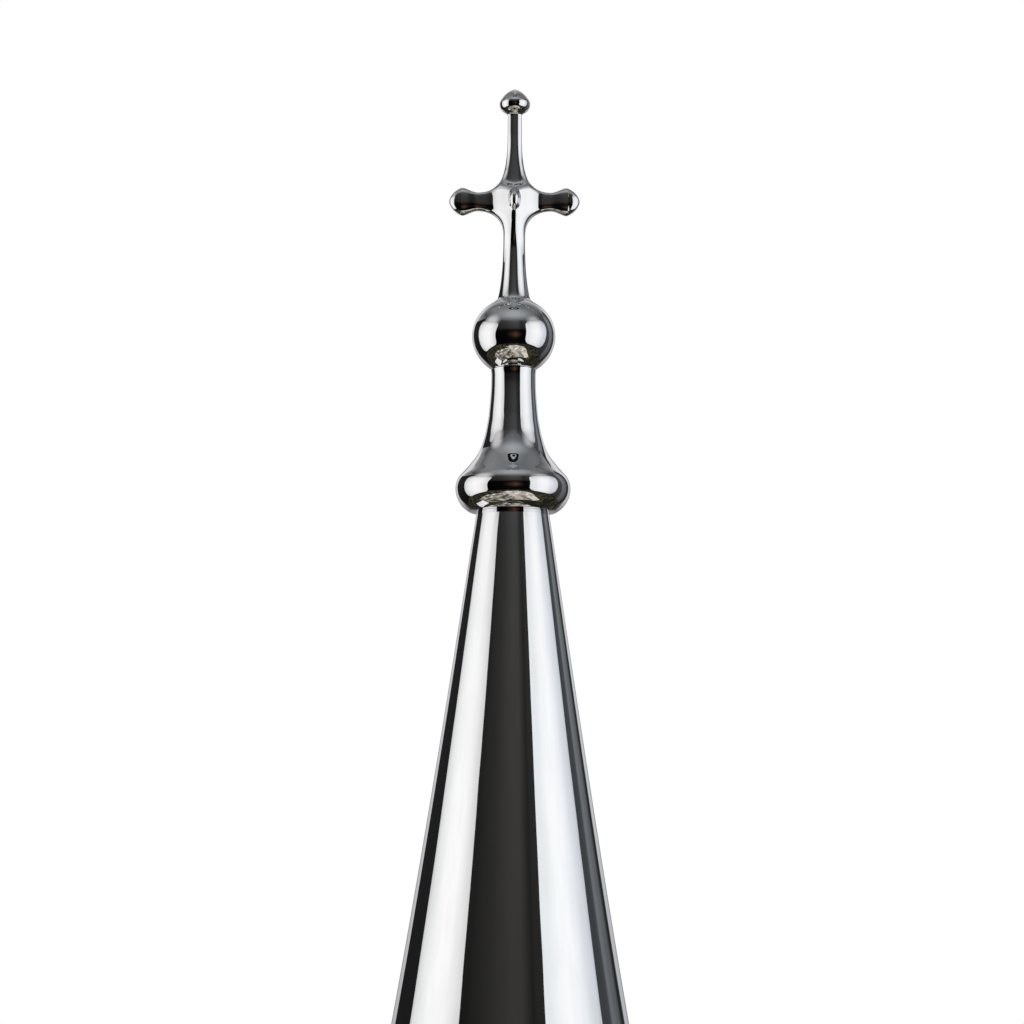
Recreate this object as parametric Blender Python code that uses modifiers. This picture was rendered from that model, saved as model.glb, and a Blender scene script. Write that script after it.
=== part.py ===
"""Chrome spire finial: a hollow spun cone, a turned neck with a fat rolled ring, and one casting of a
ball that flares up into a slim cross with buds on its three free arms.
Metres, +Z up, the cross's arms along X, the origin at the centre of the foot."""

import math

import bpy

# The hollow cone, from its foot at z = 0
CONE_HEIGHT = 0.2430
CONE_TOP_RADIUS = 0.01445
CONE_FOOT_RADIUS = 0.0542
CONE_FLARE = 0.0032             # how much of the foot's radius comes from the outward sweep
CONE_WALL = 0.0015
CONE_TOP_THICKNESS = 0.0020
FOOT_BEAD_RADIUS = 0.0035       # half-round bead rolled around the foot
FOOT_HEM_WIDTH = 0.0040         # flat rim under the bead, which the finial stands on

# The neck and its rolled ring
NECK_HEIGHT = 0.0577
NECK_RADIUS = 0.0090
NECK_LIP_RADIUS = 0.0092        # the neck's top edge, under the ball
NECK_LIP_HEIGHT = 0.0024
RING_RADIUS = 0.0232
RING_CREST_HEIGHT = 0.0094      # the widest line, above the neck's underside
RING_SHOULDER_RADIUS = 0.0195   # where the neck's flare turns over into the ring
RING_SHOULDER_HEIGHT = 0.0172
RING_LIP_RADIUS = 0.0177        # the sharp lower edge that stands over the cone

# The ball and the cross
BALL_RADIUS = 0.0168
BALL_SEAT_RADIUS = 0.0097       # the flat that rests on the neck
CROSSING_RISE = 0.0557          # from the ball's centre to the crossing
TOP_REACH = 0.0470              # from the crossing to the tip of the top bud
SIDE_REACH = 0.0269             # from the crossing to the tip of a side bud
SHAFT_RADIUS = 0.00448
TOP_ARM_RADIUS = 0.0029
SIDE_ARM_RADIUS = 0.00366
TOP_BUD_RADIUS = 0.0061
TOP_BUD_RISE = 0.0061           # from the bud's widest line to its tip
TOP_BUD_DROP = 0.0044           # and back towards its arm
SIDE_BUD_RADIUS = 0.0057
SIDE_BUD_RISE = 0.0055
SIDE_BUD_DROP = 0.0056
CROSSING_RADIUS = 0.0070        # half the shaft's thickness where the four flares meet
SIDE_CROSSING_RADIUS = 0.0067   # the same for the side arms, so that the shaft stands just proud
BOSS_REACH = 0.0106             # the flares also run out into a small boss, front and back
BOSS_TIP_RADIUS = 0.0029
BOSS_ROOT_RADIUS = 0.0072
BOSS_ROOT_DEPTH = 0.0056
TOP_FLARE_START = 0.0309        # distances from the crossing at which each arm begins to widen
SIDE_FLARE_START = 0.0160
SHAFT_FLARE_START = 0.0150
BALL_FLARE_HEIGHT = 0.0238      # from the ball's flare down to where it meets the ball
BALL_FLARE_RADIUS = 0.0075      # the flare's radius where it meets the ball

JOINT_GAP = 0.0003              # clearance between two pieces that sit on each other

# A bud is two half superellipses turned about its arm, tip side and arm side: a power under 2 draws it
# to a soft point, and one over 2 makes it blunt
TOP_BUD_POWERS = (1.5, 2.4)
SIDE_BUD_POWERS = (1.53, 1.53)

# How the flares bend: the pull of each end's handle, as a share of the flare's height
NECK_PULLS = (0.46, 0.28)
TOP_PULLS = (0.56, 0.18)
SHAFT_PULLS = (0.52, 0.26)
BALL_PULLS = (0.57, 0.08)
SIDE_PULLS = (0.41, 0.27)
BOSS_PULLS = (0.4, 0.5)
CORNER_ANGLE = math.radians(45)         # from the arm's axis, where two flares meet at the crossing
BALL_FLARE_ANGLE = math.radians(30)
BOSS_TIP_ANGLE = math.radians(58)       # half the angle of the boss's round tip
BOSS_FLARE_ANGLE = math.radians(66)

# Sides of each turned piece
CONE_SIDES = 48
NECK_SIDES = 44
CROSS_SIDES = 30
SIDE_ARM_SIDES = 24
BOSS_SIDES = 22

NECK_BOTTOM = CONE_HEIGHT + JOINT_GAP
CROSS_BOTTOM = NECK_BOTTOM + NECK_HEIGHT + JOINT_GAP


def flare(start, end, pulls, end_angle, steps, start_angle=0.0):
    """A concave sweep as one cubic curve, in (radius, height). Its two angles are measured from the
    axis."""
    drop = start[1] - end[1]
    handle_a = (start[0] + pulls[0] * abs(drop) * math.sin(start_angle),
                start[1] - pulls[0] * drop * math.cos(start_angle))
    handle_b = (end[0] - pulls[1] * abs(drop) * math.sin(end_angle),
                end[1] + pulls[1] * drop * math.cos(end_angle))
    points = []
    for i in range(steps + 1):
        t = i / steps
        a, b, c, d = (1 - t) ** 3, 3 * t * (1 - t) ** 2, 3 * t * t * (1 - t), t ** 3
        points.append(tuple(a * start[k] + b * handle_a[k] + c * handle_b[k] + d * end[k]
                            for k in (0, 1)))
    return points


def roll(crest, end):
    """The round side of the ring as (centre radius, radius of the arc, arc angle): an arc that is
    upright at the crest and passes through end."""
    inward, height = crest[0] - end[0], abs(end[1] - crest[1])
    angle = 2 * math.atan2(inward, height)
    arc_radius = height / math.sin(angle)
    return crest[0] - arc_radius, arc_radius, angle


def bud(tip_height, arm_radius, radius, rise, drop, powers, steps):
    """Points of a bud from its tip to where it meets its arm, in (radius, height)."""
    last = math.acos(-(1 - (arm_radius / radius) ** powers[1]) ** 0.5)
    points = []
    for i in range(steps + 1):
        angle = last * i / steps
        half, power = (rise, powers[0]) if math.cos(angle) > 0 else (drop, powers[1])
        along = math.copysign(abs(math.cos(angle)) ** (2 / power), math.cos(angle))
        points.append((radius * math.sin(angle) ** (2 / power), tip_height - rise + half * along))
    return points


def cone_radius(height):
    """Outside radius of the cone: a straight taper and a sweep that grows towards the foot."""
    share = (CONE_HEIGHT - height) / CONE_HEIGHT
    taper = CONE_FOOT_RADIUS - CONE_TOP_RADIUS - CONE_FLARE
    return CONE_TOP_RADIUS + taper * share + CONE_FLARE * share ** 3


def cone_profile():
    """Down the outside, around the foot's bead, across the flat rim and back up the inside."""
    rows = 11
    bead_steps = 7
    bead_start = math.radians(110)
    bead_end = math.radians(-90)
    bead_top = FOOT_BEAD_RADIUS * (1 + math.sin(bead_start))
    ceiling = CONE_HEIGHT - CONE_TOP_THICKNESS
    heights = [CONE_HEIGHT + (bead_top - CONE_HEIGHT) * i / rows for i in range(rows)]
    points = [(0.0, CONE_HEIGHT)] + [(cone_radius(z), z) for z in heights]
    for i in range(bead_steps + 1):
        angle = bead_start + (bead_end - bead_start) * i / bead_steps
        points.append((CONE_FOOT_RADIUS + FOOT_BEAD_RADIUS * math.cos(angle),
                       FOOT_BEAD_RADIUS * (1 + math.sin(angle))))
    hem_radius = CONE_FOOT_RADIUS - FOOT_HEM_WIDTH
    points.append((hem_radius, 0.0))
    points.append((hem_radius, bead_top))
    inner_bottom = 2 * bead_top
    inner_rows = 6
    for i in range(inner_rows + 1):
        z = inner_bottom + (ceiling - inner_bottom) * i / inner_rows
        points.append((cone_radius(z) - CONE_WALL, z))
    points.append((0.0, ceiling))
    return points


def neck_profile():
    """Down the trumpet, over the ring and under it to the flat that sits on the cone."""
    flare_steps = 12
    roll_steps = 6
    crest = (RING_RADIUS, RING_CREST_HEIGHT)
    shoulder = (RING_SHOULDER_RADIUS, RING_SHOULDER_HEIGHT)
    neck_start = (NECK_RADIUS, NECK_HEIGHT - NECK_LIP_HEIGHT)
    points = [(0.0, NECK_HEIGHT), (NECK_LIP_RADIUS, NECK_HEIGHT)]
    centre, arc_radius, angle = roll(crest, shoulder)
    points += flare(neck_start, shoulder, NECK_PULLS, angle, flare_steps)[:-1]
    for i in range(roll_steps):
        a = angle * (1 - i / roll_steps)
        points.append((centre + arc_radius * math.cos(a), crest[1] + arc_radius * math.sin(a)))
    centre, arc_radius, angle = roll(crest, (RING_LIP_RADIUS, 0.0))
    for i in range(roll_steps + 1):
        a = angle * i / roll_steps
        points.append((centre + arc_radius * math.cos(a), crest[1] - arc_radius * math.sin(a)))
    points.append((0.0, 0.0))
    return points


def shaft_profile():
    """Top bud, top arm, crossing, shaft, the flare onto the ball, and the ball down to its seat."""
    ball_centre = math.sqrt(BALL_RADIUS ** 2 - BALL_SEAT_RADIUS ** 2)
    crossing = ball_centre + CROSSING_RISE
    points = bud(crossing + TOP_REACH, TOP_ARM_RADIUS, TOP_BUD_RADIUS, TOP_BUD_RISE, TOP_BUD_DROP,
                 TOP_BUD_POWERS, 9)
    upper_corner = (CROSSING_RADIUS, crossing + CROSSING_RADIUS)
    lower_corner = (CROSSING_RADIUS, crossing - CROSSING_RADIUS)
    points += flare((TOP_ARM_RADIUS, crossing + TOP_FLARE_START), upper_corner, TOP_PULLS,
                    CORNER_ANGLE, 8)
    shaft_start = (SHAFT_RADIUS, crossing - SHAFT_FLARE_START)
    points += reversed(flare(shaft_start, lower_corner, SHAFT_PULLS, CORNER_ANGLE, 6))
    flare_angle = math.asin(BALL_FLARE_RADIUS / BALL_RADIUS)
    flare_foot = (BALL_FLARE_RADIUS, ball_centre + BALL_RADIUS * math.cos(flare_angle))
    flare_start = (SHAFT_RADIUS, flare_foot[1] + BALL_FLARE_HEIGHT)
    points += flare(flare_start, flare_foot, BALL_PULLS, BALL_FLARE_ANGLE, 7)
    seat_angle = math.pi - math.asin(BALL_SEAT_RADIUS / BALL_RADIUS)
    ball_steps = 13
    for i in range(1, ball_steps + 1):
        angle = flare_angle + (seat_angle - flare_angle) * i / ball_steps
        points.append((BALL_RADIUS * math.sin(angle), ball_centre + BALL_RADIUS * math.cos(angle)))
    points.append((0.0, 0.0))
    return points, crossing


def side_arm_profile():
    """Both side arms in one turning, from bud to bud, about a line through the crossing."""
    corner = (SIDE_CROSSING_RADIUS, CROSSING_RADIUS)
    half = bud(SIDE_REACH, SIDE_ARM_RADIUS, SIDE_BUD_RADIUS, SIDE_BUD_RISE, SIDE_BUD_DROP,
               SIDE_BUD_POWERS, 8)
    half += flare((SIDE_ARM_RADIUS, SIDE_FLARE_START), corner, SIDE_PULLS, CORNER_ANGLE, 6)
    return half + [(radius, -height) for radius, height in reversed(half)]


def boss_profile():
    """The front and back bosses in one turning, from tip to tip, about a line through the crossing."""
    tip_steps = 3
    tip_centre = BOSS_REACH - BOSS_TIP_RADIUS
    half = []
    for i in range(tip_steps + 1):
        angle = BOSS_TIP_ANGLE * i / tip_steps
        half.append((BOSS_TIP_RADIUS * math.sin(angle), tip_centre + BOSS_TIP_RADIUS * math.cos(angle)))
    half += flare(half[-1], (BOSS_ROOT_RADIUS, BOSS_ROOT_DEPTH), BOSS_PULLS, BOSS_FLARE_ANGLE, 4,
                  start_angle=math.radians(90) - BOSS_TIP_ANGLE)[1:]
    return half + [(radius, -height) for radius, height in reversed(half)]


def collection(name):
    made = bpy.data.collections.new(name)
    bpy.context.scene.collection.children.link(made)
    return made


def chrome(name, colour, roughness):
    """Polished chrome plating."""
    material = bpy.data.materials.new(name)
    material.use_nodes = True
    shader = material.node_tree.nodes["Principled BSDF"]
    shader.inputs["Base Color"].default_value = (*colour, 1.0)
    shader.inputs["Metallic"].default_value = 1.0
    shader.inputs["Roughness"].default_value = roughness
    return material


def turned(name, profile, sides, material, home):
    """A profile in (radius, height), turned once about its own upright axis."""
    mesh = bpy.data.meshes.new(name)
    edges = [(i, i + 1) for i in range(len(profile) - 1)]
    mesh.from_pydata([(radius, 0.0, height) for radius, height in profile], edges, [])
    mesh.materials.append(material)
    piece = bpy.data.objects.new(name, mesh)
    home.objects.link(piece)
    screw = piece.modifiers.new("Turn", "SCREW")
    screw.axis = "Z"
    screw.angle = math.tau
    screw.steps = sides
    screw.render_steps = sides
    screw.use_merge_vertices = True
    screw.merge_threshold = 0.00001
    screw.use_smooth_shade = True
    return piece


for old in list(bpy.data.objects):
    bpy.data.objects.remove(old, do_unlink=True)

finial = collection("finial")
cutters = collection("cutters")
axis = bpy.data.objects.new("finial_axis", None)
finial.objects.link(axis)

spire_cone = turned("spire_cone", cone_profile(), CONE_SIDES,
                    chrome("cone_chrome", (0.78, 0.79, 0.80), 0.06), finial)
spire_cone.parent = axis

neck_ring = turned("neck_ring", neck_profile(), NECK_SIDES,
                   chrome("neck_chrome", (0.74, 0.75, 0.76), 0.05), finial)
neck_ring.parent = axis
neck_ring.location.z = NECK_BOTTOM

cast_chrome = chrome("cast_chrome", (0.70, 0.71, 0.72), 0.06)
upright, crossing_height = shaft_profile()
cross_and_ball = turned("cross_and_ball", upright, CROSS_SIDES, cast_chrome, finial)
cross_and_ball.parent = axis
cross_and_ball.location.z = CROSS_BOTTOM

for name, profile, sides, turn in (("side_arms", side_arm_profile(), SIDE_ARM_SIDES, (0, 90, 0)),
                                   ("boss", boss_profile(), BOSS_SIDES, (90, 0, 0))):
    cutter = turned(name, profile, sides, cast_chrome, cutters)
    cutter.parent = cross_and_ball
    cutter.location.z = crossing_height
    cutter.rotation_euler = [math.radians(angle) for angle in turn]
    cutter.hide_render = True
    cutter.display_type = "WIRE"
    union = cross_and_ball.modifiers.new(name, "BOOLEAN")
    union.operation = "UNION"
    union.solver = "EXACT"
    union.object = cutter
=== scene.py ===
import math

import bpy
import numpy as np
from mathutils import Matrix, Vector


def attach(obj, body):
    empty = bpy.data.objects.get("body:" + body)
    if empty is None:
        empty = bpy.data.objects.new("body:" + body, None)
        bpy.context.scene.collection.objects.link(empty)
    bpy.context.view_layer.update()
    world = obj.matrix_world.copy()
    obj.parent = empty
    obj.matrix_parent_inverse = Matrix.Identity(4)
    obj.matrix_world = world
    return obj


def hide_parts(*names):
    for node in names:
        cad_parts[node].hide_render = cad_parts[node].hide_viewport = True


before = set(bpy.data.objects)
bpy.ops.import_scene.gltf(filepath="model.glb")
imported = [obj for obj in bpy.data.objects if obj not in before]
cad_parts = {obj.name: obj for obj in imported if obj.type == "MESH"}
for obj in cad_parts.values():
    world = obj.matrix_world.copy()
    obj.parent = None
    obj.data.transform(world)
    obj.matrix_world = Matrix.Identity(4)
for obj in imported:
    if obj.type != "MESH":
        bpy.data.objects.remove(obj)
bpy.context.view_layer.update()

# Camera
# A long lens 1.2 m in front of the finial and near its foot, pitched up, so that the foot lies below
# the picture and the spire's joints are seen slightly from below.
scene = bpy.context.scene
scene.view_settings.view_transform = "Standard"
bpy.ops.object.camera_add(location=(0.0004, -1.2, 0.0959),
                          rotation=(math.radians(97.0), math.radians(-0.29), 0.0))
camera = bpy.context.object
camera.name = "camera"
camera.data.lens = 105.5
camera.data.sensor_width = 36.0
camera.data.clip_start = 0.05
scene.camera = camera

# Studio
# White all round for the plain background. What the chrome mirrors is a tent of panels that the camera
# doesn't see: a softbox on each side, dark flags in front and beside them, a grey ceiling, a table.
plating = 0.80                  # share of light that the chrome gives back
tent_height = 0.315             # directions to the panels are measured from the ball
tent_radius = 1.30


def linear(level):
    """Linear light of an sRGB level from 0 to 1."""
    return level / 12.92 if level <= 0.04045 else ((level + 0.055) / 1.055) ** 2.4


def colour(hex_code):
    """Linear RGBA of an sRGB colour such as "#C0C0C0"."""
    return tuple(linear(int(hex_code[i:i + 2], 16) / 255) for i in (1, 3, 5)) + (1.0,)


def add(tree, kind, links=(), **settings):
    """Adds a node, sets its properties or numbered inputs, and links other nodes' outputs to it."""
    node = tree.nodes.new(kind)
    for name, value in settings.items():
        if name.startswith("input_"):
            node.inputs[int(name[6:])].default_value = value
        else:
            setattr(node, name, value)
    for socket, output in links:
        tree.links.new(output, node.inputs[socket])
    return node


def ramp(tree, output, stops):
    """A colour ramp over output whose colours are those seen in the plating."""
    node = add(tree, "ShaderNodeValToRGB", [(0, output)])
    elements = node.color_ramp.elements
    for i, (position, tone) in enumerate(stops):
        element = elements[i] if i < 2 else elements.new(position)
        element.position = position
        element.color = [light / plating for light in colour(tone)[:3]] + [1.0]
    return node


def glow(name, across, upward, soft=0.0):
    """Light that varies by two ramps, one along each side of a panel. White in one leaves the other.
    soft is the share of the panel, from its outline inwards, over which it fades in."""
    material = bpy.data.materials.new(name)
    material.use_nodes = True
    tree = material.node_tree
    tree.nodes.remove(tree.nodes["Principled BSDF"])
    place = add(tree, "ShaderNodeTexCoord")
    split = add(tree, "ShaderNodeSeparateXYZ", [(0, place.outputs["UV"])])
    both = add(tree, "ShaderNodeMix", data_type="RGBA", blend_type="MULTIPLY")
    both.inputs[0].default_value = 1.0
    tree.links.new(ramp(tree, split.outputs["X"], across).outputs[0], both.inputs[6])
    tree.links.new(ramp(tree, split.outputs["Y"], upward).outputs[0], both.inputs[7])
    light = add(tree, "ShaderNodeEmission", [("Color", both.outputs[2])])
    light.inputs["Strength"].default_value = plating
    if soft:
        sides = [add(tree, "ShaderNodeMath", [(0, split.outputs[axis])], operation="PINGPONG", input_1=0.5)
                 for axis in ("X", "Y")]
        inward = add(tree, "ShaderNodeMath", [(0, sides[0].outputs[0]), (1, sides[1].outputs[0])],
                     operation="MINIMUM")
        fade = add(tree, "ShaderNodeMapRange", [("Value", inward.outputs[0])],
                   interpolation_type="SMOOTHSTEP")
        fade.inputs["From Max"].default_value = soft / 2
        clear = add(tree, "ShaderNodeBsdfTransparent")
        light = add(tree, "ShaderNodeMixShader", [(0, fade.outputs[0]), (1, clear.outputs[0]),
                                                  (2, light.outputs[0])])
    tree.links.new(light.outputs[0], tree.nodes["Material Output"].inputs["Surface"])
    return material


def hide(piece):
    """Leaves a piece of the studio to the reflections alone."""
    piece.visible_camera = False
    piece.visible_shadow = False


def panel(name, azimuths, heights, across, upward, radius=tent_radius, corners=0.0, lean=(0.0, 0.0),
          tilt=0.0, hollow=(0.0, 0.0), soft=0.0):
    """A panel between two azimuths (from the front, to the right) and two elevations, in degrees.
    corners is the power of a rounded outline, lean how many degrees each side shifts on its way up,
    hollow how many degrees it shifts at both ends, and tilt how many degrees the top rises on its way to
    the right."""
    bpy.ops.object.select_all(action="DESELECT")
    bpy.ops.mesh.primitive_grid_add(x_subdivisions=48, y_subdivisions=32, size=2.0)
    piece = bpy.context.object
    piece.name = name
    for vertex in piece.data.vertices:
        s, t = vertex.co.x, vertex.co.y
        edge = max(abs(s), abs(t))
        if corners and edge > 0:
            inward = (abs(s / edge) ** corners + abs(t / edge) ** corners) ** (-1 / corners)
            s, t = s * inward, t * inward
        left = azimuths[0] + lean[0] * t / 2 + hollow[0] * t * t
        right = azimuths[1] + lean[1] * t / 2 + hollow[1] * t * t
        azimuth = math.radians(left + (right - left) * (s + 1) / 2)
        top = heights[1] + tilt * s / 2
        elevation = math.radians(heights[0] + (top - heights[0]) * (t + 1) / 2)
        flat = radius * math.cos(elevation)
        vertex.co = (flat * math.sin(azimuth), -flat * math.cos(azimuth),
                     tent_height + radius * math.sin(elevation))
    piece.data.materials.append(glow(name, across, upward, soft))
    hide(piece)


world = bpy.data.worlds.new("white_backdrop")
world.use_nodes = True
world.node_tree.nodes["Background"].inputs["Color"].default_value = colour("#FFFFFF")
scene.world = world

# The softboxes dim towards their sides and ends.
softbox_upward = [(0.0, "#EBEBEB"), (0.15, "#FAFAFA"), (0.6, "#FFFFFF"), (0.85, "#F6F6F6"),
                  (0.94, "#E0E0E0"), (1.0, "#BCBCBC")]
panel("softbox_left", (-113.0, -51.5), (-31.0, 31.5),
      [(0.0, "#CACBCA"), (0.10, "#E1E1E1"), (0.22, "#EBECEB"), (0.36, "#F7F7F6"), (0.5, "#FAFAF9"),
       (0.7, "#F8F8F7"), (0.83, "#EBEBEB"), (1.0, "#D4D4D4")],
      softbox_upward, radius=1.26, corners=5.0, lean=(0.0, 11.0), hollow=(0.0, 6.0))
panel("softbox_right", (34.5, 101.0), (-30.0, 35.5),
      [(0.0, "#E6E9EA"), (0.12, "#E8EBEC"), (0.26, "#F4F6F7"), (0.42, "#F9FAFB"), (0.55, "#F6F8FA"),
       (0.68, "#EAEDF1"), (0.8, "#DADDE2"), (0.92, "#D0D4DA"), (1.0, "#BCC0C8")],
      softbox_upward, radius=1.26, corners=4.0, lean=(0.0, 10.0), hollow=(-4.0, 0.0))
# The dark side in front, far behind the camera, with the dim warm patch that it keeps of the room.
panel("front_flag", (-60.0, 40.0), (-42.0, 46.0),
      [(0.0, "#A0A0A0"), (0.16, "#A8A8A8"), (0.2, "#B4B4B4"), (0.37, "#CFCFCF"), (0.485, "#EAEAEA"),
       (0.6, "#FFFFFF"), (0.715, "#FFFFFF"), (0.79, "#C8C8C8"), (0.83, "#A7A7A7"), (0.87, "#C0C0C0"),
       (1.0, "#C9C9C9")],
      [(0.0, "#0A0A0A"), (0.10, "#0A0A0A"), (0.25, "#080808"), (0.545, "#0C0C0C"), (0.568, "#131313"),
       (0.595, "#242322"), (0.625, "#343332"), (0.70, "#3C3B3A"), (0.852, "#454545"), (0.909, "#585858"),
       (1.0, "#6A6C6E")], radius=4.0)
panel("warm_patch", (-24.0, 28.0), (-22.0, 11.0),
      [(0.0, "#1E1612"), (0.4, "#3A281E"), (0.6, "#523628"), (1.0, "#1E1612")],
      [(0.0, "#909090"), (0.5, "#FFFFFF"), (1.0, "#909090")], radius=3.6, corners=2.0, soft=0.9)
# The softboxes' light spilling onto the tent above them.
spill_upward = [(0.0, "#FFFFFF"), (1.0, "#E0E0E0")]
panel("spill_left", (-108.0, -38.0), (17.0, 57.0), [(0.0, "#C8C8C8"), (1.0, "#D0D0D0")],
      spill_upward, radius=1.28, corners=2.0, soft=0.8)
panel("spill_right", (34.0, 100.0), (24.0, 54.0), [(0.0, "#BCBEC0"), (1.0, "#B0B2B4")],
      spill_upward, radius=1.28, corners=2.0, soft=0.9)
# The tent's sides, flagged dark beside and below the softboxes, its back and its ceiling.
even = [(0.0, "#FFFFFF"), (1.0, "#FFFFFF")]
panel("left_wall", (-150.0, -98.0), (0.0, 38.5),
      [(0.0, "#FFFFFF"), (0.3, "#D8D8D8"), (0.55, "#BEBEBE"), (1.0, "#969696")],
      [(0.0, "#C0C0C0"), (0.55, "#B8B8B8"), (0.8, "#989898"), (1.0, "#808080")], radius=1.34)
panel("left_flag", (-147.0, -98.0), (-42.0, 30.0),
      [(0.0, "#D0D0D0"), (0.1, "#FFFFFF"), (1.0, "#FFFFFF")],
      [(0.0, "#101010"), (0.35, "#141414"), (0.6, "#1E1E1F"), (0.8, "#242425"), (1.0, "#1C1C1E")],
      tilt=18.0)
panel("right_flag", (92.0, 146.0), (-42.0, 38.0),
      [(0.0, "#939598"), (0.30, "#939598"), (0.41, "#A4A6AA"), (0.46, "#F2F4F8"), (0.52, "#FAFCFF"),
       (0.61, "#E2E4E6"), (0.72, "#D8DADC"), (0.80, "#9C9EA0"), (0.86, "#60605E"), (0.92, "#5C5C5A"),
       (0.97, "#B0B0B4"), (1.0, "#E8E8EC")],
      [(0.0, "#3C3C38"), (0.25, "#5C5C5C"), (0.48, "#6A6C6E"), (0.64, "#727678"), (0.74, "#7A7C80"),
       (0.9, "#7E8082"), (1.0, "#6C6C6E")])
panel("side_flag_left", (-100.0, -59.0), (-42.0, 38.0), even,
      [(0.0, "#1C1C1C"), (0.6, "#202020"), (0.9, "#484848"), (1.0, "#646464")])
panel("side_flag_right", (39.0, 92.0), (-42.0, 38.0), even,
      [(0.0, "#202020"), (0.8, "#404040"), (1.0, "#5C5C5C")])
panel("back_wall", (146.0, 213.0), (-42.0, 38.0),
      [(0.0, "#F4F4F4"), (0.18, "#F4F4F4"), (0.32, "#ACACAE"), (0.68, "#ACACAE"), (0.82, "#F4F4F4"),
       (1.0, "#F4F4F4")],
      [(0.0, "#262626"), (0.22, "#3C3C3C"), (0.34, "#B0B0B4"), (0.5, "#C4C4C8"), (0.7, "#D0D0D4"),
       (0.85, "#E0E0E2"), (1.0, "#B4B4B6")])
panel("ceiling", (-130.0, 124.0), (38.0, 89.9),
      [(0.0, "#C0C0C0"), (0.15, "#BABABA"), (0.33, "#DCDEE0"), (0.43, "#F0F2F4"), (0.51, "#F8FAFC"),
       (0.59, "#F0F2F4"), (0.7, "#D8DADC"), (0.8, "#B8BABC"), (0.87, "#A8AAAC"), (1.0, "#ACACAE")],
      [(0.0, "#5E5F60"), (0.1, "#747678"), (0.2, "#8E9092"), (0.32, "#A0A2A3"), (0.5, "#A3A5A6"),
       (0.65, "#9C9E9F"), (1.0, "#969898")])
panel("ceiling_back", (124.0, 230.0), (38.0, 89.9),
      [(0.0, "#909092"), (0.2, "#C0C0C2"), (0.4, "#FFFFFF"), (0.6, "#FFFFFF"), (0.8, "#C0C0C2"),
       (1.0, "#909092")],
      [(0.0, "#C8C8CA"), (0.1, "#B2B2B4"), (0.25, "#A2A4A4"), (0.4, "#989A9A"), (1.0, "#969898")])

# A lamp that hangs almost overhead, wider than it is deep: a dark shade with a dull ring of light in it.
lamp_height, lamp_width, lamp_depth = 1.50, 1.35, 0.75
for drop, name, centre, radius, tone in (
        (0.0, "lamp_shade", (0.0, -0.152), 0.150, "#0E0E12"),
        (0.01, "lamp_ring", (0.01, -0.150), 0.078, "#9A9EA4"),
        (0.02, "lamp_middle", (0.024, -0.150), 0.046, "#1A1A20")):
    centre = (*centre, lamp_height - drop)
    bpy.ops.object.select_all(action="DESELECT")
    bpy.ops.mesh.primitive_circle_add(vertices=48, radius=radius, fill_type="NGON", location=centre)
    bpy.ops.object.mode_set(mode="EDIT")
    bpy.ops.transform.resize(value=(lamp_width, lamp_depth, 1.0), center_override=centre)
    bpy.ops.object.mode_set(mode="OBJECT")
    disc = bpy.context.object
    disc.name = name
    disc.data.materials.append(glow(name, [(0.0, tone), (1.0, tone)], even))
    hide(disc)

# A dark floor with a few things laid on it: a beige cloth in front, a grey one, and a white patch that is a
# painted highlight.
floor_height, laid_height = -0.004, -0.003


def cloth(name, tones, scale):
    """Light of a rumpled cloth: patches of a few tones, the painted highlights and painted shade of its
    folds.
    """
    material = bpy.data.materials.new(name)
    material.use_nodes = True
    tree = material.node_tree
    tree.nodes.remove(tree.nodes["Principled BSDF"])
    place = add(tree, "ShaderNodeTexCoord")
    # The noise paints the highlights and shade of the cloth's folds.
    fold_light_and_shade = add(tree, "ShaderNodeTexNoise", [("Vector", place.outputs["Object"])])
    fold_light_and_shade.inputs["Scale"].default_value = scale
    fold_light_and_shade.inputs["Detail"].default_value = 1.5
    fold_light_and_shade.inputs["Distortion"].default_value = 1.4
    light = add(tree, "ShaderNodeEmission", [("Color", ramp(tree, fold_light_and_shade.outputs[0], tones).outputs[0])])
    tree.links.new(light.outputs[0], tree.nodes["Material Output"].inputs["Surface"])
    return material


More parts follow.
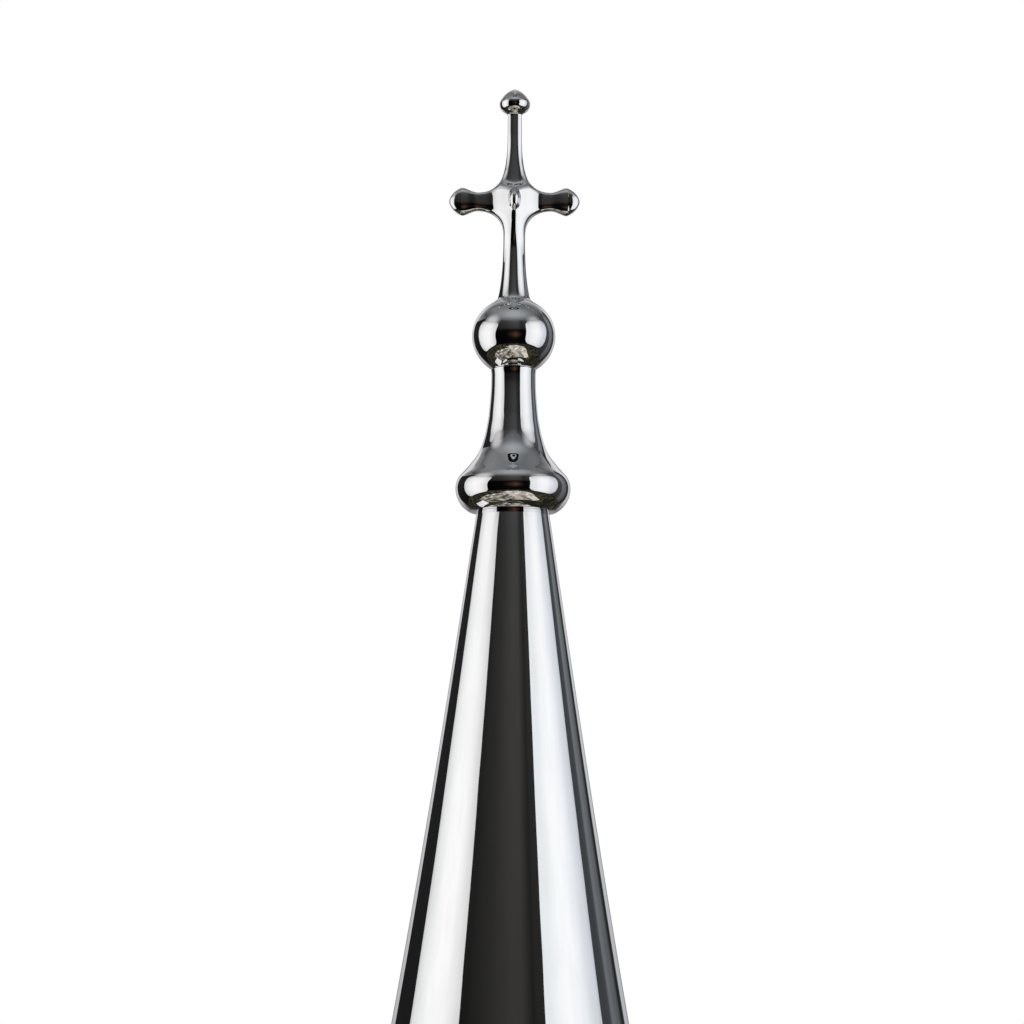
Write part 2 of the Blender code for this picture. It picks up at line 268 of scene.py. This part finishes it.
bpy.ops.object.select_all(action="DESELECT")
bpy.ops.mesh.primitive_circle_add(vertices=64, radius=0.50, fill_type="NGON", location=(0, 0, floor_height))
floor = bpy.context.object
floor.name = "floor"
floor.data.materials.append(cloth("dark_floor", [(0.3, "#121310"), (0.5, "#262620"), (0.62, "#3C3A28"),
                                                 (0.75, "#4A4834")], 9.0))
hide(floor)
for layer, name, corners, tones in (
        (0.0, "grey_cloth",
         [(-0.293, -0.079), (-0.273, -0.157), (-0.19, -0.24), (-0.107, -0.30), (-0.04, -0.25),
          (-0.005, -0.15), (-0.05, -0.06), (-0.152, 0.027), (-0.262, 0.032)],
         [(0.34, "#3C3834"), (0.45, "#746E66"), (0.56, "#989288"), (0.68, "#D8D4CE")]),
        (0.0004, "beige_cloth",
         [(-0.176, -0.331), (-0.084, -0.394), (0.03, -0.412), (0.138, -0.379), (0.215, -0.307),
          (0.233, -0.195), (0.209, -0.130), (0.196, -0.017), (0.150, -0.030), (0.096, -0.070),
          (0.048, -0.094), (-0.005, -0.098), (-0.040, -0.170), (-0.062, -0.235), (-0.086, -0.290)],
         [(0.34, "#5C544A"), (0.42, "#9A9286"), (0.52, "#B8B0A6"), (0.66, "#E4DED6")]),
        # A white patch at the left back: a painted highlight on the floor.
        (0.0008, "white_highlight_patch",
         [(-0.224, 0.157), (-0.130, 0.209), (-0.139, 0.117), (-0.135, 0.036), (-0.211, 0.018)],
         [(0.3, "#C0C0C0"), (0.5, "#E0E0E0"), (0.7, "#FFFFFF")])):
    bpy.ops.object.select_all(action="DESELECT")
    bpy.ops.mesh.primitive_circle_add(vertices=len(corners), radius=1.0, fill_type="NGON",
                                      location=(0, 0, laid_height))
    laid = bpy.context.object
    laid.name = name
    for vertex, (right, back) in zip(laid.data.vertices, corners):
        vertex.co = (right, back, layer)
    laid.data.materials.append(cloth(name, tones, 11.0))
    hide(laid)

# Spire cone
# The tall hollow spire: sheet metal spun to a slightly flared cone, its foot rolled outwards into a bead
# with a flat hem inside, its top a small flat that carries the neck. Plated with chrome and polished.
cone_height, cone_top, cone_foot, cone_sweep, cone_wall = 0.2430, 0.01463, 0.0542, 0.0032, 0.0015
bead, hem, top_thickness, top_edge = 0.0035, 0.0040, 0.0020, 0.0003
bead_start = 110                # degrees from straight outwards at which the cone runs into its bead
turned_sides = 192


def cone_radius(height):
    """Outer radius of the cone's sheet, which sweeps out towards its foot."""
    share = (cone_height - height) / cone_height
    return cone_top + (cone_foot - cone_top - cone_sweep) * share + cone_sweep * share ** 3


def arc(centre, radius, start, end, steps):
    """Points along an arc in (radius, height), its angles in degrees from straight outwards."""
    return [(centre[0] + radius * math.cos(math.radians(start + (end - start) * i / steps)),
             centre[1] + radius * math.sin(math.radians(start + (end - start) * i / steps)))
            for i in range(steps + 1)]


def turned(name, profile, crease):
    """A closed piece turned to a profile in (radius, height), which runs from its top, by its outside, to
    its last ring. Edges sharper than crease degrees stay sharp."""
    bpy.ops.object.select_all(action="DESELECT")
    bpy.ops.mesh.primitive_circle_add(vertices=turned_sides, radius=profile[0][0], fill_type="NGON")
    piece = bpy.context.object
    piece.name = name
    bpy.ops.object.mode_set(mode="EDIT")
    bpy.ops.mesh.select_all(action="SELECT")
    bpy.ops.transform.translate(value=(0.0, 0.0, profile[0][1]))
    bpy.ops.mesh.select_all(action="DESELECT")
    bpy.ops.mesh.select_non_manifold()
    for (radius, height), (next_radius, next_height) in zip(profile, profile[1:]):
        bpy.ops.mesh.extrude_region_move(
            TRANSFORM_OT_translate={"value": (0.0, 0.0, next_height - height)})
        share = next_radius / radius
        bpy.ops.transform.resize(value=(share, share, 1.0), center_override=(0.0, 0.0, next_height))
    bpy.ops.mesh.edge_face_add()
    bpy.ops.mesh.select_all(action="SELECT")
    bpy.ops.mesh.normals_make_consistent(inside=False)
    bpy.ops.object.mode_set(mode="OBJECT")
    bpy.ops.object.shade_smooth_by_angle(angle=math.radians(crease))
    return piece


def chrome(name, tone, roughness, wave, stretch):
    """Mirror-polished chrome plate: a faint waviness from polishing by hand, wave metres high, slight
    changes of gloss, and a thin film in streaks."""
    material = bpy.data.materials.new(name)
    material.use_nodes = True
    tree = material.node_tree
    shader = tree.nodes["Principled BSDF"]
    place = add(tree, "ShaderNodeTexCoord").outputs["Object"]
    shader.inputs["Metallic"].default_value = 1.0
    # A film that dulls the plating in lengthwise streaks, about 4 mm wide and 60 mm long.
    along = add(tree, "ShaderNodeMapping", [("Vector", place)])
    along.inputs["Scale"].default_value = (1.0, 1.0, 0.06)
    streaks = add(tree, "ShaderNodeTexNoise", [("Vector", along.outputs[0])])
    streaks.inputs["Scale"].default_value = 260.0
    streaks.inputs["Detail"].default_value = 3.0
    film = add(tree, "ShaderNodeValToRGB", [(0, streaks.outputs[0])])
    film.color_ramp.elements[0].position, film.color_ramp.elements[1].position = 0.35, 0.62
    film.color_ramp.elements[0].color = [0.955 * light for light in colour(tone)[:3]] + [1.0]
    film.color_ramp.elements[1].color = colour(tone)
    tree.links.new(film.outputs[0], shader.inputs["Base Color"])
    # Slow, barely raised waves, about 17 mm across, drawn out by stretch.
    lie = add(tree, "ShaderNodeMapping", [("Vector", place)])
    lie.inputs["Scale"].default_value = stretch
    swell = add(tree, "ShaderNodeTexNoise", [("Vector", lie.outputs[0])])
    swell.inputs["Scale"].default_value = 60.0
    swell.inputs["Detail"].default_value = 2.0
    bump = add(tree, "ShaderNodeBump", [("Height", swell.outputs[0])])
    bump.inputs["Strength"].default_value = 1.0
    bump.inputs["Distance"].default_value = wave
    tree.links.new(bump.outputs[0], shader.inputs["Normal"])
    # Gloss that differs a little from patch to patch, each about 7 mm across.
    patch = add(tree, "ShaderNodeTexNoise", [("Vector", place)])
    patch.inputs["Scale"].default_value = 140.0
    patch.inputs["Detail"].default_value = 4.0
    gloss = add(tree, "ShaderNodeMapRange", [("Value", patch.outputs[0])])
    gloss.inputs["To Min"].default_value = roughness * 0.7
    gloss.inputs["To Max"].default_value = roughness * 1.3
    tree.links.new(gloss.outputs[0], shader.inputs["Roughness"])
    return material


bead_top = bead * (1 + math.sin(math.radians(bead_start)))
rim = [(cone_top - top_edge, cone_height + top_edge),
       (cone_top - top_edge * 0.3, cone_height + top_edge * 0.7)]
outside = [(cone_radius(z), z) for z in np.linspace(cone_height - top_edge, bead_top, 26)]
rolled_foot = arc((cone_foot, bead), bead, bead_start, -90, 24)[1:]
hem_inside = [(cone_foot - hem, 0.0), (cone_foot - hem, bead_top)]
inside = [(cone_radius(z) - cone_wall, z)
          for z in np.linspace(2 * bead_top, cone_height - top_thickness, 14)]
spire_cone = turned("spire_cone_chrome", rim + outside + rolled_foot + hem_inside + inside, 35)
# Over spun sheet the chrome is a mirror with slow waves, longer down the cone than around it, so that the
# edges of what it mirrors wander a little.
spire_cone.data.materials.append(chrome("spun_chrome", "#E9E9EA", 0.03, 0.00007, (1.0, 1.0, 0.25)))
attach(spire_cone, "root")
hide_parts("spire_cone")

# Neck and ring
# One piece turned from solid metal, then plated: a trumpet neck that flares into a fat rolled ring. It is
# seated on the cone's flat top, and its small lip takes the ball.
neck_bottom, neck_top = 0.2433, 0.3013
crest = (0.0232, neck_bottom + 0.0094)
shoulder = (0.0212, neck_bottom + 0.0148)
lip_edge = (0.0177, neck_bottom)


def smooth_line(corners, blur, step=0.0001):
    """An even, rounded line through corners: walked in short steps, then averaged over blur."""
    corners = np.array(corners)
    walked = np.concatenate([[0.0], np.cumsum(np.linalg.norm(np.diff(corners, axis=0), axis=1))])
    reach = int(3 * blur / step)
    along = np.arange(-reach, int(walked[-1] / step) + reach + 1) * step
    weights = np.exp(-0.5 * (np.arange(-reach, reach + 1) * step / blur) ** 2)
    weights /= weights.sum()
    line = []
    for values in corners.T:
        first = (values[1] - values[0]) / (walked[1] - walked[0])
        last = (values[-1] - values[-2]) / (walked[-1] - walked[-2])
        track = np.interp(along, walked, values)
        track += np.where(along < 0, first * along, 0.0)
        track += np.where(along > walked[-1], last * (along - walked[-1]), 0.0)
        line.append(np.convolve(track, weights, mode="valid"))
    return np.array(line)


def roll(crest, end):
    """Centre radius, radius and angle of the arc that is upright at the crest and meets end."""
    inward, height = crest[0] - end[0], abs(end[1] - crest[1])
    angle = 2 * math.atan2(inward, height)
    return crest[0] - height / math.sin(angle), height / math.sin(angle), math.degrees(angle)


upper_centre, upper_radius, upper_angle = roll(crest, shoulder)
lower_centre, lower_radius, lower_angle = roll(crest, lip_edge)
neck_flare = smooth_line([(0.00900, neck_top - 0.0024), (0.00902, 0.2950), (0.00918, 0.2915),
                          (0.00945, 0.2880), (0.01005, 0.2815), (0.01125, 0.2750), (0.01262, 0.2703),
                          (0.01364, 0.2677), (0.01513, 0.2652), (0.01704, 0.2628), (0.01910, 0.2603),
                          shoulder], 0.0010)
neck_flare = [tuple(point) for point in neck_flare.T[::8]]
lip = [(0.00902, neck_top), (0.0092, neck_top - 0.0002), (0.0092, neck_top - 0.0005),
       (0.00912, neck_top - 0.0009), (0.00903, neck_top - 0.0016)]
ring = (arc((upper_centre, crest[1]), upper_radius, upper_angle, 0, 22)[1:]
        + arc((lower_centre, crest[1]), lower_radius, 0, -lower_angle, 28)[1:])
neck_ring = turned("neck_ring_chrome", lip + neck_flare + ring, 40)
# Over turned metal the chrome is a nearly flawless mirror.
neck_ring.data.materials.append(chrome("turned_chrome", "#E7E7E8", 0.03, 0.00001, (1.0, 1.0, 1.0)))
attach(neck_ring, "root")
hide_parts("neck_ring")

# Ball and cross
# One casting, filed and polished by hand and then plated: a ball that flares up into a slim cross with
# three budded arms and a small knob on each side of the crossing. It is seated on the neck's lip.
ball_radius, ball_above, ball_below = 0.01688, 0.0158, 0.0160
ball_centre = 0.3150
crossing_rise = 0.0557
crossing = ball_centre + crossing_rise
top_reach, side_reach = 0.0470, 0.0266
shaft_radius, top_radius, side_radius = 0.00435, 0.00266, 0.00366
narrowing = (-0.006, 0.010)               # heights between which the shaft thins to the top arm
shaft_half, shaft_foot = 0.0085, 0.0480   # how far the shaft's own section spreads, and reaches down
top_bud_radius, top_bud_above, top_bud_below = 0.00628, 0.0061, 0.0043
side_bud_radius, side_bud_half, side_bud_depth = 0.0057, 0.0055, 0.0031
side_arm_depth = 0.0023
knob_radius, knob_depth, knob_half, knob_centre = 0.0023, 0.0034, 0.0043, -0.0003
boss_reach = 0.0100
# The webs between the arms: how far each spreads across and down, how full it is, and how much more so
# above the side arms, where it also gets thinner between two heights.
web_across, web_across_more = 0.0123, 0.0010
web_down, web_down_more = 0.0113, 0.0187
web_power, web_power_more = 2.53, 0.70
web_change = 0.004
web_thinning, web_thin_from, web_thin_to = 0.4, 0.008, 0.018
# How square the sections are: 2 is round, and more is flatter in front. The top bud's changes from below
# to above its widest ring, and the side buds' tips are fuller in front.
arm_power, bud_power = 4.5, 2.7
top_bud_power, top_bud_swing, top_bud_change = 1.95, 0.45, 0.0010
tip_power, tip_power_front = 1.53, 0.6
# How the ridge of the side arms' swelling climbs outwards.
ridge_climb, ridge_drop = 0.3, 0.0006
# How widely the inner corners are rounded where the casting's forms meet.
arm_fillet, knob_fillet, top_bud_fillet, side_bud_fillet, ball_fillet = 0.0004, 0.0005, 0.0010, 0.0014, 0.0010


def cubic(a, b, c, d, steps):
    """Points along one cubic curve, both ends included."""
    return [tuple((1 - t) ** 3 * a[k] + 3 * t * (1 - t) ** 2 * b[k] + 3 * t * t * (1 - t) * c[k]
                  + t ** 3 * d[k] for k in (0, 1))
            for t in (i / steps for i in range(steps + 1))]


# The flare that runs down onto the ball, as a radius for each height.
ball_flare = cubic((shaft_radius, ball_centre + 0.0387), (shaft_radius, ball_centre + 0.0251),
                   (0.0062, ball_centre + 0.0158), (0.0070, ball_centre + 0.01438), 160)
ball_flare += [(0.0073, ball_centre + 0.0139)]
flare_heights = np.array([p[1] for p in reversed(ball_flare)]) - crossing
flare_radii = np.array([p[0] for p in reversed(ball_flare)])

# How thick the shaft is, front and back, by height: it swells to a ridge at the crossing.
ridge = smooth_line([(-0.0900, 0.0), (-0.0190, 0.0001), (-0.0140, 0.0006), (-0.0100, 0.0014),
                     (-0.0070, 0.0020), (-0.0040, 0.0024), (0.0, 0.0022), (0.0040, 0.0012),
                     (0.0070, 0.0009), (0.0100, 0.0005), (0.0150, -0.0001), (0.0200, -0.0005),
                     (0.0270, -0.0009), (0.0600, -0.0009)], 0.0014)
# How the side arms swell likewise, by distance from the crossing, and how that dies out up and down, in
# hundredths.
flank = smooth_line([(-0.0010, 0.0053), (0.0, 0.0058), (0.0010, 0.0053), (0.0030, 0.0042),
                     (0.0050, 0.0030), (0.0070, 0.00175), (0.0084, 0.00098), (0.0097, 0.00045),
                     (0.0115, 0.00012), (0.0140, 0.0), (0.0300, 0.0)], 0.0006)
fading = smooth_line([(-0.0400, 0.0), (-0.0300, 0.0), (-0.0240, 0.0004), (-0.0200, 0.0016),
                      (-0.0160, 0.0035), (-0.0120, 0.0058), (-0.0080, 0.0081), (-0.0040, 0.0100),
                      (0.0034, 0.0100), (0.0050, 0.0088), (0.0060, 0.0058), (0.0069, 0.0030),
                      (0.0078, 0.0015), (0.0095, 0.0007), (0.0130, 0.0), (0.0400, 0.0)], 0.0005)
# How square the shaft's section is, by height, in hundredths: 2 is round, less has a keel in front.
squareness = smooth_line([(-0.0400, 0.0213), (-0.0270, 0.0210), (-0.0200, 0.0198), (-0.0150, 0.0170),
                          (0.0, 0.0165), (0.0050, 0.0190), (0.0090, 0.0255), (0.0150, 0.0270),
                          (0.0210, 0.0250), (0.0280, 0.0232), (0.0500, 0.0230)], 0.0018)


def smooth_step(value, low, high):
    """0 up to low and 1 from high on, with an eased rise between them."""
    t = np.clip((value - low) / (high - low), 0.0, 1.0)
    return t * t * (3 - 2 * t)


def soft_min(a, b, width):
    """The lesser of two distances, rounded over width."""
    h = np.maximum(width - np.abs(a - b), 0.0) / width
    return np.minimum(a, b) - h * h * width * 0.25


def front(x, z):
    """Distance, roughly, from the cross's outline in the front view, negative inside it, and half the
    shaft's width."""
    upper = smooth_step(z, -web_change, web_change)
    radius = shaft_radius + (top_radius - shaft_radius) * smooth_step(z, *narrowing)
    radius = np.where(z < flare_heights[-1], np.interp(z, flare_heights, flare_radii), radius)
    a = x - radius
    b = np.abs(z) - side_radius
    reach_a = web_across + web_across_more * upper
    reach_b = web_down + web_down_more * upper
    power = web_power + web_power_more * upper
    side_a = np.maximum(1 - a / reach_a, 0.0) ** power
    side_b = np.maximum(1 - b / reach_b, 0.0) ** power
    total = side_a + side_b + 1e-12
    reach = (side_a * reach_a + side_b * reach_b) / total
    return (1 - total ** (1 / power)) * reach, radius


def surface(points):
    """Signed distance, roughly, from the casting's skin, of points measured from the crossing."""
    x, y, z = points.T
    x, y = np.abs(x), np.abs(y)
    outline = front(x, z)[0]
    # The shaft: how far across it a point lies, 0 on its middle and 1 on the outline, and how deep.
    middle, radius = front(0 * x, z)
    across = np.maximum(1 - outline / middle, 0.0)
    across = (across ** 4 + (x / shaft_half) ** 4) ** 0.25
    square = np.interp(z, *squareness) * 100
    depth = radius + np.interp(z, *ridge)
    shaft = ((across ** square + (y / depth) ** square) ** (1 / square) - 1) * np.minimum(depth, -middle)
    # The side arms, with flat fronts.
    middle = front(x, 0 * z)[0]
    across = np.maximum(1 - outline / middle, 0.0)
    lift = z - ridge_climb * x + ridge_drop
    depth = (side_arm_depth * (1 - web_thinning * smooth_step(z, web_thin_from, web_thin_to))
             + np.interp(x, *flank) * np.interp(lift, *fading) * 100)
    arms = ((across ** arm_power + (y / depth) ** arm_power) ** (1 / arm_power) - 1) * side_arm_depth
    arms = np.maximum(arms, x - (side_reach - side_bud_half))
    body = soft_min(shaft, arms, arm_fillet)
    # The small knob, front and back.
    knob = np.sqrt((x / knob_radius) ** 2 + ((z - knob_centre) / knob_half) ** 2
                   + ((y - boss_reach + knob_depth) / knob_depth) ** 2)
    body = soft_min(body, (knob - 1) * knob_radius, knob_fillet)
    body = np.maximum(body, z - (top_reach - top_bud_above))
    body = np.maximum(body, -shaft_foot - z)
    # Buds: the top one round, the side ones as flat in front as their arms.
    height = z - top_reach + top_bud_above
    height = np.where(height > 0, height / top_bud_above, -height / top_bud_below)
    power = top_bud_power - top_bud_swing * np.tanh((z - top_reach + top_bud_above) / top_bud_change)
    bud = ((np.hypot(x, y) / top_bud_radius) ** power + height ** power) ** (1 / power)
    body = soft_min(body, (bud - 1) * top_bud_radius, top_bud_fillet)
    girth = ((np.abs(z) / side_bud_radius) ** bud_power
             + (y / side_bud_depth) ** bud_power) ** (1 / bud_power)
    length = np.abs(x - side_reach + side_bud_half) / side_bud_half
    share = (y / side_bud_depth) ** 2
    power = tip_power + tip_power_front * share / (share + (z / side_bud_radius) ** 2 + 1e-6)
    bud = (girth ** power + length ** power) ** (1 / power)
    body = soft_min(body, (bud - 1) * side_bud_depth, side_bud_fillet)
    # The ball.
    half = np.where(z > -crossing_rise, ball_above, ball_below)
    ball = (np.sqrt((x * x + y * y) / ball_radius ** 2 + ((z + crossing_rise) / half) ** 2) - 1) * half
    return soft_min(body, ball, ball_fillet)


def slope(points, step=2e-5):
    """How fast surface grows along each axis at the points."""
    return np.stack([(surface(points + offset) - surface(points - offset)) / (2 * step)
                     for offset in np.eye(3) * step], axis=1)


def settle(points, rounds, longest_move=0.0015):
    """Moves points up or down the slope until they lie on the skin."""
    for _ in range(rounds):
        gradient = slope(points)
        size = np.maximum((gradient ** 2).sum(1), 0.05)
        move = -surface(points)[:, None] * gradient / size[:, None]
        length = np.maximum(np.linalg.norm(move, axis=1, keepdims=True), 1e-12)
        points = points + move * np.minimum(1.0, longest_move / length)
    return points


def select_end(piece, direction, straying=8):
    """Selects the face that lies farthest out from the crossing in a direction, less straying times its
    distance from that line."""
    bpy.ops.object.mode_set(mode="OBJECT")
    faces = piece.data.polygons
    line = Vector(direction)
    far = max(range(len(faces)), key=lambda i: faces[i].center.dot(line)
              - straying * (faces[i].center - faces[i].center.dot(line) * line).length)
    for item in (*piece.data.vertices, *piece.data.edges, *faces):
        item.select = False
    faces[far].select = True
    bpy.ops.object.mode_set(mode="EDIT")


# The cage starts as a cube at the crossing. Along each direction it is extruded from station to station,
# each a distance in metres and half a width in units, and what lies crosswise is extruded both ways.
core_half, cage_unit = 0.0055, 0.0010152
cage = {
    (0, 0, 1): [(0.0095, 4.6), (0.0135, 3.9), (0.0180, 3.5), (0.0225, 3.2), (0.0270, 3.1),
                (0.0310, 3.1), (0.0345, 3.1), (0.0357, 4.0), (0.0370, 5.6), (0.0395, 6.4),
                (0.0425, 6.2), (0.0455, 4.2), (0.0472, 1.6)],
    (1, 0, 0): [(0.0085, 4.8), (0.0110, 4.2), (0.0135, 4.0), (0.0151, 4.0), (0.0160, 4.6),
                (0.0172, 5.8), (0.0192, 6.4), (0.0220, 6.2), (0.0250, 4.2), (0.0267, 1.6)],
    (0, 1, 0): [(0.0075, 4.6), (0.0092, 3.2), (0.0107, 1.6)],
    (0, 0, -1): [(0.0090, 5.6), (0.0120, 5.0), (0.0155, 4.8), (0.0190, 4.8), (0.0230, 5.0),
                 (0.0270, 5.2), (0.0310, 5.6), (0.0345, 6.2), (0.0375, 7.0), (0.0397, 8.0),
                 (0.0412, 9.6), (0.0440, 13.0), (0.0480, 16.6), (0.0530, 18.4), (0.0580, 18.4),
                 (0.0630, 16.4), (0.0675, 13.0), (0.0705, 8.0), (0.0722, 3.0)],
}
bpy.ops.object.select_all(action="DESELECT")
bpy.ops.mesh.primitive_cube_add(size=2 * core_half)
cross = bpy.context.object
cross.name = "cross_and_ball_chrome"
bpy.ops.object.mode_set(mode="EDIT")
bpy.ops.mesh.select_mode(type="FACE")
for direction, stations in cage.items():
    ways = [direction]
    if direction[2] == 0:
        ways.append(tuple(-d for d in direction))
    for way in ways:
        select_end(cross, way)
        distance, half = core_half, core_half
        for next_distance, units in stations:
            next_half = units * cage_unit
            step = next_distance - distance
            bpy.ops.mesh.extrude_region_move(
                TRANSFORM_OT_translate={"value": tuple(step * w for w in way)})
            share = next_half / half
            centre = tuple(next_distance * w for w in way)
            bpy.ops.transform.resize(
                value=tuple(1.0 if w else share for w in way), center_override=centre)
            distance, half = next_distance, next_half
bpy.ops.object.mode_set(mode="OBJECT")
rounding = cross.modifiers.new("Rounding", "SUBSURF")
rounding.levels = 4
bpy.ops.object.modifier_apply(modifier=rounding.name)

# The rounded cage is settled onto the skin, evened out a little between neighbours and settled again.
even_rounds, even_share = 12, 0.4
mesh = cross.data
points = np.empty(len(mesh.vertices) * 3)
mesh.vertices.foreach_get("co", points)
points = points.reshape(-1, 3)
edges = np.empty(len(mesh.edges) * 2, dtype=int)
mesh.edges.foreach_get("vertices", edges)
edges = edges.reshape(-1, 2)
count = np.bincount(edges.ravel(), minlength=len(points))[:, None]
points = settle(points, 8)
for _ in range(even_rounds):
    total = np.zeros_like(points)
    for k in range(3):
        total[:, k] = (np.bincount(edges[:, 0], points[edges[:, 1], k], len(points))
                       + np.bincount(edges[:, 1], points[edges[:, 0], k], len(points)))
    points = settle(points + even_share * (total / count - points), 2)
points = settle(points, 4)
mesh.vertices.foreach_set("co", (points + (0.0, 0.0, crossing)).ravel())
mesh.update()

# The ball is cut flat where it sits on the neck.
bpy.ops.object.mode_set(mode="EDIT")
bpy.ops.mesh.select_all(action="SELECT")
bpy.ops.mesh.bisect(plane_co=(0.0, 0.0, neck_top), plane_no=(0.0, 0.0, 1.0), use_fill=True,
                    clear_inner=True)
bpy.ops.mesh.select_all(action="SELECT")
bpy.ops.mesh.normals_make_consistent(inside=False)
bpy.ops.object.mode_set(mode="OBJECT")
bpy.ops.object.shade_smooth_by_angle(angle=math.radians(50))
# Over a hand-finished casting the chrome is as bright, and its soft forms bend what it mirrors.
cross.data.materials.append(chrome("cast_chrome", "#E7E7E8", 0.03, 0.00001, (1.0, 1.0, 1.0)))
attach(cross, "root")
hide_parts("cross_and_ball")
